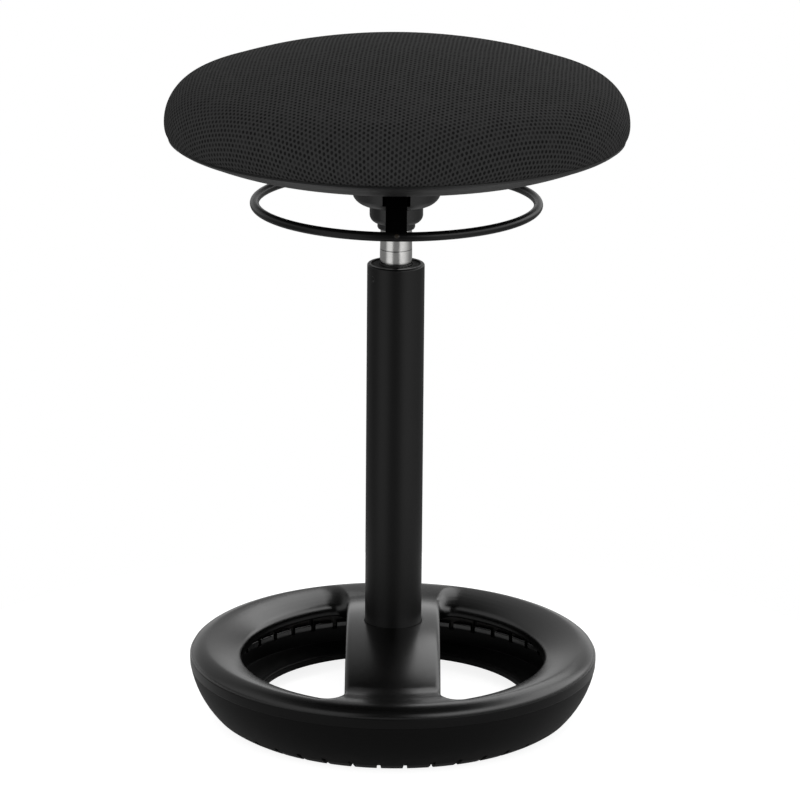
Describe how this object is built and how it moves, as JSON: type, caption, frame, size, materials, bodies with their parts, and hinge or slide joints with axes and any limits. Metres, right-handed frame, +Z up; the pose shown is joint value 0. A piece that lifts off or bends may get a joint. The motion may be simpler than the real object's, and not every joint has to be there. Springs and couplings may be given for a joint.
{
  "type": "height-adjustable rocking stool",
  "caption": "Round padded stool on a gas-lift column with a hand ring for height and a weighted ring base that rocks on a rubber tread.",
  "frame": {"origin": "on the floor under the column axis, tread standing flat", "axes": "+Z up the column; +X to the right in the picture; -Y towards the viewer, where the strap and the near end of the bridge are"},
  "size_m": [0.4012, 0.4012, 0.603],
  "materials": {
    "frame_black": "satin",
    "bowl_black": "satin",
    "tread_rubber": "matte",
    "ballast_iron": "rough",
    "zinc_steel": "zinc plated",
    "column_black": "satin powder coat",
    "bearing_steel": "ground",
    "guide_plastic": "satin",
    "bumper_rubber": "matte",
    "rod_chrome": "polished",
    "cylinder_chrome": "polished",
    "mount_black": "satin powder coat",
    "cover_black": "satin",
    "lever_black": "satin powder coat",
    "pan_black": "satin",
    "board_wood": "plywood",
    "foam_pad": "open cell foam",
    "seat_fabric": "open mesh weave"
  },
  "bodies": {
    "base": {"base_frame": "frame_black", "base_bowl": "bowl_black", "tread_ring": "tread_rubber", "ballast_ring": "ballast_iron", "base_screws": "zinc_steel", "column_tube": "column_black", "tube_end_plate": "zinc_steel", "lower_race": "bearing_steel", "ball_cage": "guide_plastic", "bearing_balls": "bearing_steel", "guide_bush": "guide_plastic"},
    "rod": {"upper_race": "bearing_steel", "end_bumper": "bumper_rubber", "rod_clip": "zinc_steel", "piston_rod": "rod_chrome", "piston": "guide_plastic"},
    "seat": {"gas_cylinder": "cylinder_chrome", "rod_guide": "guide_plastic", "valve_body": "guide_plastic", "mount_socket": "mount_black", "hinge_pin": "zinc_steel", "mount_cover": "cover_black", "mount_plate": "mount_black", "seat_pan": "pan_black", "seat_board": "board_wood", "tee_nuts": "zinc_steel", "seat_bolts": "zinc_steel", "seat_foam": "foam_pad", "seat_cover": "seat_fabric"},
    "lever": {"lever_strap": "lever_black", "hand_ring": "lever_black"},
    "valve": {"valve_pin": "bearing_steel"}
  },
  "joints": [
    {"name": "seat_swivel", "type": "hinge", "parent": "base", "child": "rod", "pos_m": [0, 0, 0.036], "axis": [0, 0, 1], "continuous": true},
    {"name": "seat_height", "type": "slide", "parent": "rod", "child": "seat", "axis": [0, 0, 1], "range_m": [0, 0.252]},
    {"name": "ring_tilt", "type": "hinge", "parent": "seat", "child": "lever", "pos_m": [0, -0.028, 0.4895], "axis": [-1, 0, 0], "range_deg": [0, 5], "stiffness_Nm_per_rad": 6, "springref_deg": -3.44},
    {"name": "valve_press", "type": "slide", "parent": "seat", "child": "valve", "axis": [0, 0, -1], "range_m": [0, 0.00262]}
  ],
  "couplings": [
    {"joint": "valve_press", "follows": "ring_tilt", "m_per_rad": 0.03}
  ]
}
